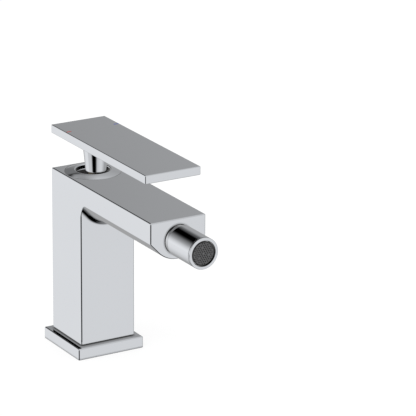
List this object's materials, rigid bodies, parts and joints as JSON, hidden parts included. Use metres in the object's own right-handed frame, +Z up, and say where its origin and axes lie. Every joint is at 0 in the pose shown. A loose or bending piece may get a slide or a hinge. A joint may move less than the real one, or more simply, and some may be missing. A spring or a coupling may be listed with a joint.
{
  "type": "bidet mixer",
  "caption": "Square-bodied lever mixer for a bidet: round-bellied arm, tilting ball nozzle with aerator, flat lever plate on a tapered stem, ceramic-disc cartridge.",
  "frame": {"origin": "On the column's axis at the underside of the base plate, which stands on the deck", "axes": "+Z up along the column, -Y forward along the arm, the nozzle and the lever, -X on the hot side"},
  "size_m": [0.051, 0.1748, 0.1575],
  "materials": {
    "chrome": "polished chrome plate on brass",
    "brass": "turned bare brass",
    "steel": "stainless steel",
    "rubber": "black rubber",
    "ceramic": "lapped white ceramic",
    "white_plastic": "moulded white plastic",
    "black_plastic": "glass-filled black plastic",
    "grey_plastic": "moulded grey plastic",
    "red_plastic": "red plastic",
    "blue_plastic": "blue plastic"
  },
  "bodies": {
    "body": {"body_casting": "chrome", "inlet_block": "brass", "base_plate": "chrome", "base_gasket": "rubber", "column_seal": "rubber", "foot_bridge": "brass", "bridge_screws": "steel", "port_seals": "rubber", "cartridge_base": "white_plastic", "disc_seals": "rubber", "fixed_disc": "ceramic", "cartridge_housing": "black_plastic", "hot_limit_ring": "red_plastic", "clamping_nut": "black_plastic", "cover_oring": "rubber", "cover_ring": "chrome", "stem_gasket": "rubber", "ball_stem": "brass"},
    "swivel": {"spindle_carrier": "black_plastic", "pivot_pin": "steel"},
    "lever": {"spindle": "brass", "lever_stem": "chrome", "lever_plate": "chrome", "grub_screw": "steel", "screw_cap": "grey_plastic", "hot_mark": "red_plastic", "cold_mark": "blue_plastic"},
    "disc": {"disc_driver": "white_plastic", "moving_disc": "ceramic"},
    "slip": {"slip_washer": "white_plastic"},
    "nozzle": {"nozzle_sleeve": "chrome", "ball_retainer": "brass", "ball_seal": "rubber", "aerator_gasket": "rubber", "aerator_screen": "steel", "flow_regulator": "white_plastic", "aerator_insert": "grey_plastic", "aerator_housing": "chrome"}
  },
  "joints": [
    {"name": "temperature_swivel", "type": "hinge", "parent": "body", "child": "swivel", "pos_m": [0, 0, 0.108], "axis": [0, 0, 1], "range_deg": [-50, 50]},
    {"name": "lever_lift", "type": "hinge", "parent": "swivel", "child": "lever", "pos_m": [0, 0, 0.108], "axis": [-1, 0, 0], "range_deg": [0, 22]},
    {"name": "disc_slide", "type": "slide", "parent": "swivel", "child": "disc", "axis": [0, 1, 0], "range_m": [-0.0035, 0]},
    {"name": "nozzle_spin", "type": "hinge", "parent": "body", "child": "slip", "pos_m": [0, -0.1185, 0.1124], "axis": [0, -1, 0], "continuous": true},
    {"name": "nozzle_tilt", "type": "hinge", "parent": "slip", "child": "nozzle", "pos_m": [0, -0.1185, 0.1124], "axis": [1, 0, 0], "range_deg": [-12, 12]}
  ],
  "couplings": [
    {"joint": "disc_slide", "follows": "lever_lift", "m_per_rad": -0.00896}
  ]
}
